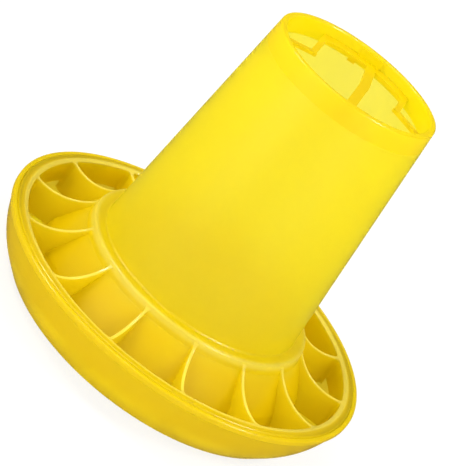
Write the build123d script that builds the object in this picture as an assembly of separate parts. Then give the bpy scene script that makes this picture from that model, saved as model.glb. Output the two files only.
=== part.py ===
from build123d import *
from math import atan2, cos, degrees, radians, sin
import os

# Poultry feeder for chicks: a conical hopper, moulded in one with a ring of dividers, that drops
# into a round feed tray. Millimetres, +Z up, the origin in the middle of the face it stands on.

# Hopper
height = 176.0
mouth_radius = 45.8
barrel_foot_radius = 57.9
wall = 1.7
rim_round = 0.9

# Thick neck round the mouth
neck_radius = 42.4
neck_depth = 10.6
neck_step = 0.7

# Collar and feed skirt at the foot of the hopper
collar_radius = 64.3
collar_height = 41.0
collar_band = 5.6
collar_lean = 1.2
skirt_knee_radius = 77.2
skirt_knee_height = 17.8
skirt_foot_radius = 79.0
skirt_foot_height = 11.2
collar_round = 1.2
skirt_round = 5.0
feed_edge_round = 0.5

# Dividers, and the ring that carries them with a band hanging inside the tray wall
divider_count = 14
divider_wall = 1.6
divider_turn = 3.2
divider_drop = 0.3
divider_dip_radius = 80.0
divider_dip = 6.0
cell_corner = 2.2
cell_edge_round = 0.5
ring_inset = 8.6
ring_brow = 1.8
ring_flange = 2.6
ring_top = 30.5
ring_round = 1.0
band_wall = 1.6
band_foot_height = 17.0

# Snap bead on the ring, and the clearances to the tray
bead_height = 28.7
bead_width = 1.0
bead_rise = 0.35
bead_crest = 0.4
seat_gap = 0.3
groove_gap = 0.15
divider_gap = 0.6

# Feed tray
tray_radius = 105.0
lip_wall = 2.4
tray_rim_height = 30.0
lip_round = 0.9
lip_inner_round = 0.5
lip_height = 3.6
lip_step = 0.8
tray_wall = 2.0
tray_floor = 2.0
belly_inset = 5.3
belly_height = 12.6
belly_round = 42.0
belly_inner_round = 12.0
foot_inset = 16.5
foot_width = 5.0
foot_recess = 1.0
foot_round = 1.5
floor_round = 6.0
shoulder_width = 2.1
shoulder_foot_height = 20.0
shoulder_round = 10.0
cone_radius = 62.0
cone_height = 22.0
cone_nose_radius = 9.0
cone_round = 12.0

# Flat frame across the mouth
frame_depth = 5.4
frame_wall = 1.8
flange_radius = 34.6
flange_left = 25.8
flange_right = 26.8
side_bar_width = 3.2
left_eye_reach = 1.8
right_eye_reach = 9.2
stub_width = 3.2
stub_angle = 33.0
bar_width = 5.2
bar_root = 2.8
bar_middle = 5.4
bar_bend_reach = 8.3

# Pads where the bar meets the neck, and the stop under the flange
pad_rise = 2.2
far_pad_width = 12.8
near_pad_width = 10.8
near_pad_offset = 9.0
pad_below_rim = 0.9
stop_width = 4.2
stop_offset = -7.4
stop_length = 2.4
stop_drop = 2.0


def side_step(line, gap):
    """The open line moved sideways to its left by the gap, with its corners kept sharp."""
    points = [Vector(*point) for point in line]
    lefts = [(end - start).normalized().rotate(Axis.Z, 90) for start, end in zip(points, points[1:])]
    corners = zip([lefts[0]] + lefts, points, lefts + [lefts[-1]])
    moved = [point + (one + two) * (gap / (1 + one.dot(two))) for one, point, two in corners]
    return [(point.X, point.Y) for point in moved]


def point_at(start, end, level):
    """The point at this height on the line from start to end."""
    share = (level - start[1]) / (end[1] - start[1])
    return (start[0] + share * (end[0] - start[0]), level)


def point_below(start, end, radius):
    """The point at this radius on the line from start to end."""
    share = (radius - start[0]) / (end[0] - start[0])
    return (radius, start[1] + share * (end[1] - start[1]))


def turned(points, rounds):
    """Solid of revolution from a closed outline of (radius, height), each corner rounded."""
    outline = FilletPolyline(points, radius=rounds, close=True)
    return revolve(Plane.XZ * make_face(outline), axis=Axis.Z)


# Outer face of the hopper from the mouth down to the feed edge of its skirt
hopper_line = [
    (mouth_radius, height),
    (barrel_foot_radius, collar_height),
    (collar_radius, collar_height),
    (collar_radius + collar_lean, collar_height - collar_band),
    (skirt_knee_radius, skirt_knee_height),
    (skirt_foot_radius, skirt_foot_height),
]
hopper_inside = side_step(hopper_line, -wall)

# The ring drops into the lip, and the tray follows its own rim inwards
seat_radius = tray_radius - lip_wall
ring_radius = seat_radius - seat_gap
ring_inner_radius = tray_radius - ring_inset
shoulder_radius = ring_radius - shoulder_width
belly_radius = tray_radius - belly_inset
foot_radius = tray_radius - foot_inset

# Underside and outer face of the tray from the axis out to the rim, without its foot ring
floor_line = [
    (0, foot_recess + cone_height),
    (cone_nose_radius, foot_recess + cone_height),
    (cone_radius, foot_recess),
    (foot_radius, foot_recess),
]
lip_foot = (tray_radius - lip_step, tray_rim_height - lip_height)
wall_line = [(foot_radius, 0), (belly_radius, belly_height), lip_foot]
wall_inside = side_step(wall_line, tray_wall)
seat_height = ring_top - ring_flange

# Distance under which two places count as one
same_place = 0.01

# Middle of the neck wall, where the frame and the pads are rooted
core_radius = (neck_radius + mouth_radius) / 2


def hopper_shell():
    """Thin conical barrel with its thick neck, the collar and the flared feed skirt."""
    neck_foot = height - neck_depth
    neck = [
        point_at(hopper_inside[0], hopper_inside[1], neck_foot - neck_step),
        (neck_radius, neck_foot),
        (neck_radius, height),
    ]
    outline = hopper_line + hopper_inside[:0:-1] + neck
    outer_rounds = [rim_round, collar_round, collar_round, collar_round, skirt_round, feed_edge_round]
    inner_rounds = [feed_edge_round, skirt_round, collar_round, collar_round, collar_round + wall]
    neck_rounds = [neck_step, neck_step, rim_round]
    return turned(outline, outer_rounds + inner_rounds + neck_rounds)


def divider_section():
    """Section of the ring and of all that the dividers could fill, before the cells are cut."""
    skirt_core = side_step(hopper_line[2:], -wall / 2)
    skirt_core[-1] = (skirt_core[-1][0], skirt_foot_height)
    root = Vector(collar_radius - wall / 2, collar_height - divider_drop)
    tip = Vector(ring_inner_radius + ring_brow, ring_top)
    share = (divider_dip_radius - root.X) / (tip.X - root.X)
    dip = root + (tip - root) * share - Vector(0, divider_dip)
    clear_wall = side_step(wall_line, tray_wall + divider_gap)
    ring = [
        tip,
        (ring_radius, ring_top),
        (ring_radius, bead_height + bead_width / 2),
        (ring_radius + bead_rise, bead_height + bead_crest / 2),
        (ring_radius + bead_rise, bead_height - bead_crest / 2),
        (ring_radius, bead_height - bead_width / 2),
        (ring_radius, seat_height),
        (ring_inner_radius + band_wall, seat_height),
        (ring_inner_radius + band_wall, band_foot_height),
    ]
    under = [
        (ring_inner_radius, band_foot_height),
        point_below(clear_wall[0], clear_wall[1], ring_inner_radius),
        point_at(clear_wall[0], clear_wall[1], skirt_foot_height),
        *skirt_core[::-1],
        root,
    ]
    outline = ring + under
    rounds = [ring_round] + [0] * (len(outline) - 3)
    return make_face(FilletPolyline(outline, radius=rounds) + ThreePointArc(root, dip, tip))


def cell():
    """Plan of one cell: the space between two dividers, from the collar out to the ring."""
    half_pitch = radians(180 / divider_count)
    apex = Vector(0, -divider_wall / 2 / sin(half_pitch))
    reach = 2 * tray_radius
    sideways = Vector(reach * sin(half_pitch), 0)
    ahead = apex - Vector(0, reach * cos(half_pitch))
    wedge = make_face(Polyline(apex, ahead - sideways, ahead + sideways, close=True))
    plan = (Circle(ring_inner_radius) - Circle(collar_radius)) & wedge
    return fillet(plan.vertices(), cell_corner)


def is_cell_edge(edge):
    """Whether this edge runs round a cell: no nearer than the collar, no farther than the ring."""
    middle = edge @ 0.5
    radius = Vector(middle.X, middle.Y).length
    return collar_radius - same_place < radius < ring_inner_radius + same_place


def dividers():
    """Curved plates from the collar out to the ring, with a rounded cell between each two."""
    turns = PolarLocations(0, divider_count, start_angle=divider_turn)
    blank = revolve(Plane.XZ * divider_section(), axis=Axis.Z)
    plates = blank - [extrude(place * cell(), height) for place in turns]
    sagging_top = plates.faces().filter_by(GeomType.TORUS).sort_by(SortBy.AREA)[-1]
    edges = [edge for edge in sagging_top.edges() if is_cell_edge(edge)]
    return fillet(edges, cell_edge_round)


def strip(start, end, width):
    """Flat strip along a straight line, square at both ends."""
    along = end - start
    angle = degrees(atan2(along.Y, along.X))
    middle = (start + end) / 2
    return Pos(middle.X, middle.Y) * Rot(0, 0, angle) * Rectangle(along.length + width, width)


def mouth_frame():
    """Flat frame in the neck: a flange on one side, two eyes and a bent bar across the mouth."""
    flange_middle = (flange_radius + neck_radius) / 2
    across = Pos((flange_right - flange_left) / 2, core_radius)
    across *= Rectangle(flange_left + flange_right, core_radius)
    plan = (Circle(core_radius) - Circle(flange_radius)) & across
    lean = radians(stub_angle)
    for outward, edge, reach in ((-1, flange_left, left_eye_reach), (1, flange_right, right_eye_reach)):
        side = outward * (edge - side_bar_width / 2)
        root = Vector(side, (flange_middle**2 - side**2) ** 0.5)
        elbow = Vector(side, reach - stub_width / 2)
        stub_end = elbow + Vector(outward * cos(lean), -sin(lean)) * core_radius
        plan += [strip(root, elbow, side_bar_width), strip(elbow, stub_end, stub_width)]
    bend = Vector(bar_middle, bar_bend_reach)
    plan += strip(Vector(bar_root, flange_middle), bend, bar_width)
    plan += strip(bend, Vector(bar_middle, -core_radius), bar_width)
    return Pos(0, 0, height - frame_depth - frame_wall) * extrude(plan & Circle(core_radius), frame_wall)


def neck_pads():
    """Pads that thicken the neck at both ends of the bar, and the stop under the flange."""
    face = Circle(core_radius) - Circle(neck_radius - pad_rise)
    far = face & Pos(0, core_radius) * Rectangle(far_pad_width, core_radius)
    near = face & Pos(near_pad_offset, -core_radius) * Rectangle(near_pad_width, core_radius)
    stop = (Circle(flange_radius + stop_length) - Circle(flange_radius)) & (
        Pos(stop_offset, core_radius) * Rectangle(stop_width, core_radius)
    )
    frame_top = height - frame_depth
    frame_foot = frame_top - frame_wall
    neck_foot = height - neck_depth
    pad_top = height - pad_below_rim
    pads = Pos(0, 0, frame_foot) * extrude(far, pad_top - frame_foot)
    pads += Pos(0, 0, neck_foot) * extrude(near, pad_top - neck_foot)
    pads += Pos(0, 0, frame_foot - stop_drop) * extrude(stop, stop_drop + frame_wall / 2)
    return pads


def hopper():
    """The upper moulding: hopper, collar, skirt, dividers, ring and mouth frame in one."""
    return hopper_shell() + [dividers(), mouth_frame(), neck_pads()]


def feed_tray():
    """The lower moulding: a dish with a feed cone, a raised lip, and a shoulder inside it for the ring."""
    floor_inside = side_step(floor_line, tray_floor)
    corner_height = floor_inside[-1][1]
    floor_corner = point_at(wall_inside[0], wall_inside[1], corner_height)
    groove = bead_rise + groove_gap
    shoulder_foot = point_at(wall_inside[1], wall_inside[2], shoulder_foot_height)
    outline = [
        *floor_line[:3],
        (foot_radius - foot_width - foot_recess, foot_recess),
        (foot_radius - foot_width, 0),
        *wall_line,
        (tray_radius, lip_foot[1] + lip_step),
        (tray_radius, tray_rim_height),
        (seat_radius, tray_rim_height),
        (seat_radius, bead_height + bead_width / 2),
        (seat_radius + groove, bead_height + bead_crest / 2),
        (seat_radius + groove, bead_height - bead_crest / 2),
        (seat_radius, bead_height - bead_width / 2),
        (seat_radius, seat_height),
        (shoulder_radius, seat_height),
        shoulder_foot,
        wall_inside[1],
        floor_corner,
        *floor_inside[2::-1],
    ]
    foot_rounds = [0, cone_round, cone_round, 0, 0, foot_round, belly_round]
    lip_rounds = [0, lip_round, lip_round, lip_inner_round]
    seat_rounds = [0, 0, 0, 0, 0, 0, shoulder_round]
    floor_rounds = [belly_inner_round, floor_round, cone_round, cone_round, 0]
    rounds = foot_rounds + lip_rounds + seat_rounds + floor_rounds
    return turned(outline, rounds)


os.makedirs("parts", exist_ok=True)
export_step(hopper(), "parts/hopper.step")
export_step(feed_tray(), "parts/feed_tray.step")
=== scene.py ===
from math import cos, radians, sin

import bpy
from mathutils import Matrix, Vector

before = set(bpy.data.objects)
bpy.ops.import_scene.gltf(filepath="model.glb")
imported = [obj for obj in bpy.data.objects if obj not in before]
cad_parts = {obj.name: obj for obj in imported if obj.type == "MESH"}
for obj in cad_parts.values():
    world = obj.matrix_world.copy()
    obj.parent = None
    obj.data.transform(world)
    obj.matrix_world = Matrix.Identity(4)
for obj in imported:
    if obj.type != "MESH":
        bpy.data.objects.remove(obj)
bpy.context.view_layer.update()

# Camera, fitted to the outlines in the photograph: metres, radians, pixels, and the sensor in mm
camera_place = Vector((-0.00405, -0.9156, 0.4659))
camera_elevation = radians(23.56)
camera_roll = radians(37.98)
focal_pixels = 1988.6
frame_height = 466
sensor = 36.0

# Surface of the moulding, in metres: fine grain, flow streaks and uneven dye.
# The real grain is finer, and is drawn as coarse as it needs to be to show
grain_size = 0.0012
grain_depth = 0.0002
grain_strength = 0.06
flow_width = 0.009
flow_stretch = 0.06
cloud_size = 0.03

# Optics of the plastic: index of refraction, gloss of its skin, blur of what is seen through it
plastic_ior = 1.49
skin_roughness = 0.15
skin_specular = 0.9
clear_roughness = 0.3

# Absorption in the walls: its colour is linear, because near white the steps of hex are too coarse
absorption_colour = (0.9998, 0.996, 0.02, 1)
absorption_density = 1000.0

# Shares of the light: what the milky part passes on, and what goes clear through the walls low
# down, where shade is painted, and higher up, where light is painted
milky_share = 0.4
clear_share_shaded = 0.25
clear_share_lit = 0.64

# In metres, the heights between which one wall comes to stand free of the skirt and the tray,
# over which painted shade gives way to painted light, and the foot and bore of the thick neck
# above, whose wall gets this share of that painted light
shade_below = 0.030
light_above = 0.046
neck_foot = 0.1654
neck_bore = 0.0422
neck_light_share = 0.3

# In metres, the arc of the dividers' sagging top edges: radius and height of its centre,
# its own radius, and how far below it the painted pale edge light reaches
arc_place = 0.08802
arc_height = 0.06011
arc_radius = 0.03131
edge_depth = 0.0012

# Radii in metres between which that painted edge light begins on the collar and ends on the ring
collar_start, collar_end = 0.0612, 0.0628
ring_start, ring_end = 0.0982, 0.0996

# White shown to each kind of ray: the ray, the share of white and its strength
floor_white = (
    ("Is Glossy Ray", 1.0, 0.1),
    ("Is Transmission Ray", 0.8, 1.4),
    ("Is Camera Ray", 0.8, 1.0),
)
world_white = (
    ("Is Glossy Ray", 1.0, 0.06),
    ("Is Transmission Ray", 1.0, 1.35),
    ("Is Camera Ray", 1.0, 1.0),
)
world_strength = 0.92

# Side of the square floor in metres
floor_side = 8.0


def linear(code):
    """An sRGB hex value as the linear RGBA that shaders take."""
    parts = [int(code[place:place + 2], 16) / 255 for place in (0, 2, 4)]
    lit = [part / 12.92 if part <= 0.04045 else ((part + 0.055) / 1.055) ** 2.4 for part in parts]
    return [*lit, 1.0]


def add(tree, kind, settings=None, links=None):
    """Adds a node: settings go on its sockets and properties, links join others' outputs to it."""
    node = tree.nodes.new(kind)
    for name, value in (settings or {}).items():
        if isinstance(name, str) and hasattr(node, name):
            setattr(node, name, value)
        else:
            node.inputs[name].default_value = value
    for name, output in (links or {}).items():
        tree.links.new(output, node.inputs[name])
    return node


def sum_of(tree, operation, first, second):
    """Result of a sum on an output and a number, or on two outputs."""
    if isinstance(second, float):
        settings, links = {"operation": operation, 1: second}, {0: first}
    else:
        settings, links = {"operation": operation}, {0: first, 1: second}
    return add(tree, "ShaderNodeMath", settings, links).outputs[0]


def blend(tree, factor, first, second):
    """The colour between two that the factor gives, each an sRGB hex value or a node's output."""
    settings, links = {"data_type": "RGBA"}, {"Factor": factor}
    for socket, colour in ((6, first), (7, second)):
        if isinstance(colour, str):
            settings[socket] = linear(colour)
        else:
            links[socket] = colour
    return add(tree, "ShaderNodeMix", settings, links).outputs[2]


def distance(tree, first, second):
    """How far a point with these two coordinates lies from their origin."""
    flat = add(tree, "ShaderNodeCombineXYZ", {}, {"X": first, "Y": second}).outputs[0]
    return add(tree, "ShaderNodeVectorMath", {"operation": "LENGTH"}, {0: flat}).outputs["Value"]


def eased(tree, value, start, end, low=0.0, high=1.0):
    """Goes from low to high as the value goes from start to end, eased at both."""
    settings = {"interpolation_type": "SMOOTHSTEP", "From Min": start, "From Max": end}
    settings |= {"To Min": low, "To Max": high}
    return add(tree, "ShaderNodeMapRange", settings, {"Value": value}).outputs[0]


def painted_edge_light(tree, radius, height):
    """Mask of painted light: 1 along the sagging top edges of the dividers, falling to 0 just below
    them.
    """
    outward = sum_of(tree, "SUBTRACT", radius, arc_place)
    upward = sum_of(tree, "SUBTRACT", height, arc_height)
    depth = sum_of(tree, "SUBTRACT", distance(tree, outward, upward), arc_radius)
    from_collar = eased(tree, radius, collar_start, collar_end)
    to_ring = eased(tree, radius, ring_start, ring_end, 1.0, 0.0)
    between = sum_of(tree, "MULTIPLY", from_collar, to_ring)
    return sum_of(tree, "MULTIPLY", eased(tree, depth, 0.0, edge_depth, 1.0, 0.0), between)


def painted_light_ramp(tree, radius, height):
    """Painted light and shade: 1 where one thin wall stands free, painted as lit, 0 where walls
    stand behind each other or are thick, painted as shaded.
    """
    free = eased(tree, height, shade_below, light_above)
    neck = sum_of(tree, "GREATER_THAN", height, neck_foot)
    neck_wall = sum_of(tree, "MULTIPLY", sum_of(tree, "GREATER_THAN", radius, neck_bore), neck)
    below_neck = sum_of(tree, "MAXIMUM", sum_of(tree, "SUBTRACT", free, neck), 0.0)
    return sum_of(tree, "ADD", below_neck, sum_of(tree, "MULTIPLY", neck_wall, neck_light_share))


def speckle(tree, place, size, detail):
    """Soft noise whose spots are this many metres wide."""
    settings = {"Scale": 1 / size, "Detail": detail}
    return add(tree, "ShaderNodeTexNoise", settings, {"Vector": place}).outputs["Fac"]


def translucent_polypropylene():
    """Plastic of both mouldings: polypropylene, dyed yellow and injection moulded."""
    # To the eye it is smooth, softly glossy, and lit through its walls
    material = bpy.data.materials.new("translucent_yellow_polypropylene")
    material.use_nodes = True
    tree = material.node_tree
    tree.nodes.clear()
    place = add(tree, "ShaderNodeTexCoord").outputs["Object"]
    parts = add(tree, "ShaderNodeSeparateXYZ", {}, {0: place}).outputs
    radius = distance(tree, parts["X"], parts["Y"])
    painted_light = painted_light_ramp(tree, radius, parts["Z"])
    edge_light = painted_edge_light(tree, radius, parts["Z"])
    # Melt flow leaves faint streaks that run up the walls, and the dye is not quite evenly mixed
    upright = {"Scale": (1, 1, flow_stretch)}
    stretched = add(tree, "ShaderNodeMapping", upright, {"Vector": place}).outputs[0]
    flow = speckle(tree, stretched, flow_width, 3.0)
    cloud = speckle(tree, place, cloud_size, 2.0)
    fine = {"Strength": grain_strength, "Distance": grain_depth}
    grain = {"Height": speckle(tree, place, grain_size, 2.0)}
    relief = add(tree, "ShaderNodeBump", fine, grain).outputs[0]
    # Lit and shaded copies of the one yellow: painted shade, darker gold low in the troughs and on
    # the neck, and painted light, lemon on the free barrel wall
    painted_shade_gold = blend(tree, flow, "E8C400", "EACC00")
    painted_lit_lemon = blend(tree, flow, "FDE208", "FFE814")
    through = blend(tree, cloud, "FFF668", "FFFA80")
    # Painted light: the dividers' top edges get a pale colour, standing in for light that runs
    # along a divider and leaves at its edge
    dye_with_painted_light = blend(tree, edge_light, blend(tree, painted_light, painted_shade_gold, painted_lit_lemon), "FFEE64")
    # The skin, in the dye's colour with painted light and shade, the light that the milky wall
    # scatters on, and what it lets through clear
    skin = add(
        tree,
        "ShaderNodeBsdfPrincipled",
        {"Roughness": skin_roughness, "IOR": plastic_ior, "Specular IOR Level": skin_specular},
        {"Base Color": dye_with_painted_light, "Normal": relief},
    )
    glow = add(tree, "ShaderNodeBsdfTranslucent", {}, {"Color": through, "Normal": relief})
    milky = add(
        tree,
        "ShaderNodeMixShader",
        {"Fac": milky_share},
        {1: skin.outputs[0], 2: glow.outputs[0]},
    )
    clear = add(
        tree,
        "ShaderNodeBsdfPrincipled",
        {
            "Base Color": (1, 1, 1, 1),
            "Roughness": clear_roughness,
            "IOR": plastic_ior,
            "Transmission Weight": 1.0,
        },
        {"Normal": relief},
    )
    shares = {"To Min": clear_share_shaded, "To Max": clear_share_lit}
    share = add(tree, "ShaderNodeMapRange", shares, {"Value": painted_light}).outputs[0]
    ends = {0: share, 1: milky.outputs[0], 2: clear.outputs[0]}
    both = add(tree, "ShaderNodeMixShader", {}, ends).outputs[0]
    dyed = {"Color": absorption_colour, "Density": absorption_density}
    inside = add(tree, "ShaderNodeVolumeAbsorption", dyed).outputs[0]
    add(tree, "ShaderNodeOutputMaterial", {}, {"Surface": both, "Volume": inside})
    return material


def seen_as(tree, kind, shader, levels):
    """Mixes the shader with plain white, by the share and the strength for each kind of ray."""
    path = add(tree, "ShaderNodeLightPath")
    for ray, share, strength in levels:
        amount = sum_of(tree, "MULTIPLY", path.outputs[ray], share)
        white = add(tree, kind, {"Color": (1, 1, 1, 1), "Strength": strength}).outputs[0]
        shader = add(tree, "ShaderNodeMixShader", {}, {0: amount, 1: shader, 2: white}).outputs[0]
    return shader


def studio_floor():
    """Floor of white uncoated paper, rolled out flat."""
    # To the eye it is matt: it stays white to the camera and keeps a soft shadow
    bpy.ops.mesh.primitive_plane_add(size=floor_side)
    floor = bpy.context.object
    floor.name = "studio_floor"
    material = bpy.data.materials.new("white_paper_floor")
    material.use_nodes = True
    tree = material.node_tree
    tree.nodes.clear()
    paper = add(tree, "ShaderNodeBsdfDiffuse", {"Color": linear("F4F4F2")}).outputs[0]
    shown = seen_as(tree, "ShaderNodeEmission", paper, floor_white)
    add(tree, "ShaderNodeOutputMaterial", {}, {"Surface": shown})
    floor.data.materials.append(material)


def studio_world():
    """White surroundings: bright behind the walls, dim in their gloss."""
    world = bpy.data.worlds.new("studio_world")
    bpy.context.scene.world = world
    world.use_nodes = True
    tree = world.node_tree
    tree.nodes.clear()
    even = {"Color": (1, 1, 1, 1), "Strength": world_strength}
    soft = add(tree, "ShaderNodeBackground", even).outputs[0]
    shown = seen_as(tree, "ShaderNodeBackground", soft, world_white)
    add(tree, "ShaderNodeOutputWorld", {}, {"Surface": shown})


def softbox(name, place, aim, size, power, mirrored):
    """Square softbox at place, turned to aim, in metres and watts, mirrored in the gloss or not."""
    data = bpy.data.lights.new(name, "AREA")
    data.shape = "SQUARE"
    data.size = size
    data.energy = power
    lamp = bpy.data.objects.new(name, data)
    lamp.location = place
    lamp.rotation_euler = (Vector(aim) - Vector(place)).to_track_quat("-Z", "Y").to_euler()
    lamp.visible_glossy = mirrored
    bpy.context.scene.collection.objects.link(lamp)


def camera():
    """The photograph's camera: it looks down, rolled so that the feeder leans on the page."""
    e, r = camera_elevation, camera_roll
    level = Matrix(((1, 0, 0), (0, -sin(e), -cos(e)), (0, cos(e), -sin(e))))
    roll = Matrix(((cos(r), -sin(r), 0), (sin(r), cos(r), 0), (0, 0, 1)))
    right, down, ahead = roll @ level
    data = bpy.data.cameras.new("camera")
    data.sensor_fit = "AUTO"
    data.sensor_width = sensor
    data.lens = focal_pixels * sensor / frame_height
    data.clip_start, data.clip_end = 0.05, 20.0
    eye = bpy.data.objects.new("camera", data)
    turn = Matrix((right, -down, -ahead)).transposed()
    eye.matrix_world = Matrix.Translation(camera_place) @ turn.to_4x4()
    bpy.context.scene.collection.objects.link(eye)
    bpy.context.scene.camera = eye


plastic = translucent_polypropylene()
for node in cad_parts.values():
    node.data.materials.clear()
    node.data.materials.append(plastic)

studio_floor()
studio_world()
softbox("left_softbox", (-1.0, -1.2, 0.5), (0, 0, 0.08), 0.9, 9, False)
softbox("right_softbox", (1.0, -1.2, 0.5), (0, 0, 0.08), 0.9, 5.5, False)
softbox("side_softbox", (1.0, 0.0, 1.28), (0, 0, 0.04), 0.35, 9, True)
softbox("far_side_softbox", (-1.0, 0.0, 1.2), (0, 0, 0.04), 0.3, 8, True)
softbox("top_softbox", (-0.2, 0.1, 1.5), (0, 0, 0.06), 0.6, 3, True)
camera()

bpy.context.scene.view_settings.view_transform = "Standard"
